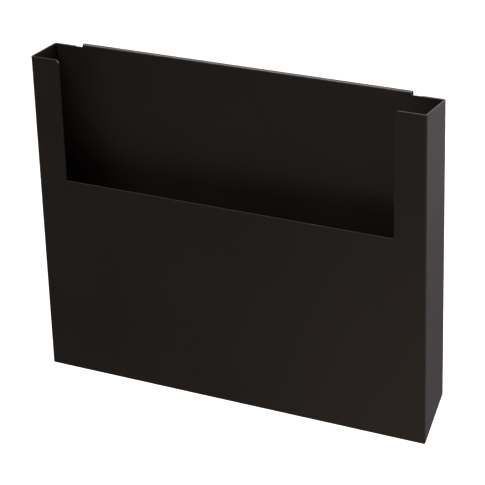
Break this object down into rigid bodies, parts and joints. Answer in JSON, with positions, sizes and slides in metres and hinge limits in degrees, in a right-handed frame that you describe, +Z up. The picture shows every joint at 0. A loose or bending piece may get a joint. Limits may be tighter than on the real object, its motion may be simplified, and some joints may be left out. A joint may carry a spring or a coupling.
{
  "type": "magazine rack",
  "caption": "Wall magazine rack: a folded sheet-metal pocket with a wide front opening and a sloping floor, whose top edge hooks over a slotted wall rail.",
  "frame": {"origin": "on the wall plane, midway between the rail's two screw slots; the rack hangs below and in front of it", "axes": "+X to the right as seen by someone facing the rack, +Y into the wall, +Z up; the rack's front faces -Y"},
  "size_m": [0.34, 0.041, 0.2748],
  "materials": {
    "powder_coat": "satin black powder coat on steel sheet",
    "rivet_coat": "satin black powder coat on steel rivets",
    "bumper_rubber": "matt moulded rubber",
    "zinc_plate": "bright zinc plate on steel"
  },
  "bodies": {
    "rail": {"wall_rail": "zinc_plate"},
    "rack": {"front_shell": "powder_coat", "back_panel": "powder_coat", "floor_plate": "powder_coat", "side_rivets": "rivet_coat", "floor_rivets": "rivet_coat", "bumper_left": "bumper_rubber", "bumper_right": "bumper_rubber"}
  },
  "joints": [
    {"name": "rack_lift", "type": "slide", "parent": "rail", "child": "rack", "axis": [0, 0, 1], "range_m": [0, 0.014]}
  ]
}
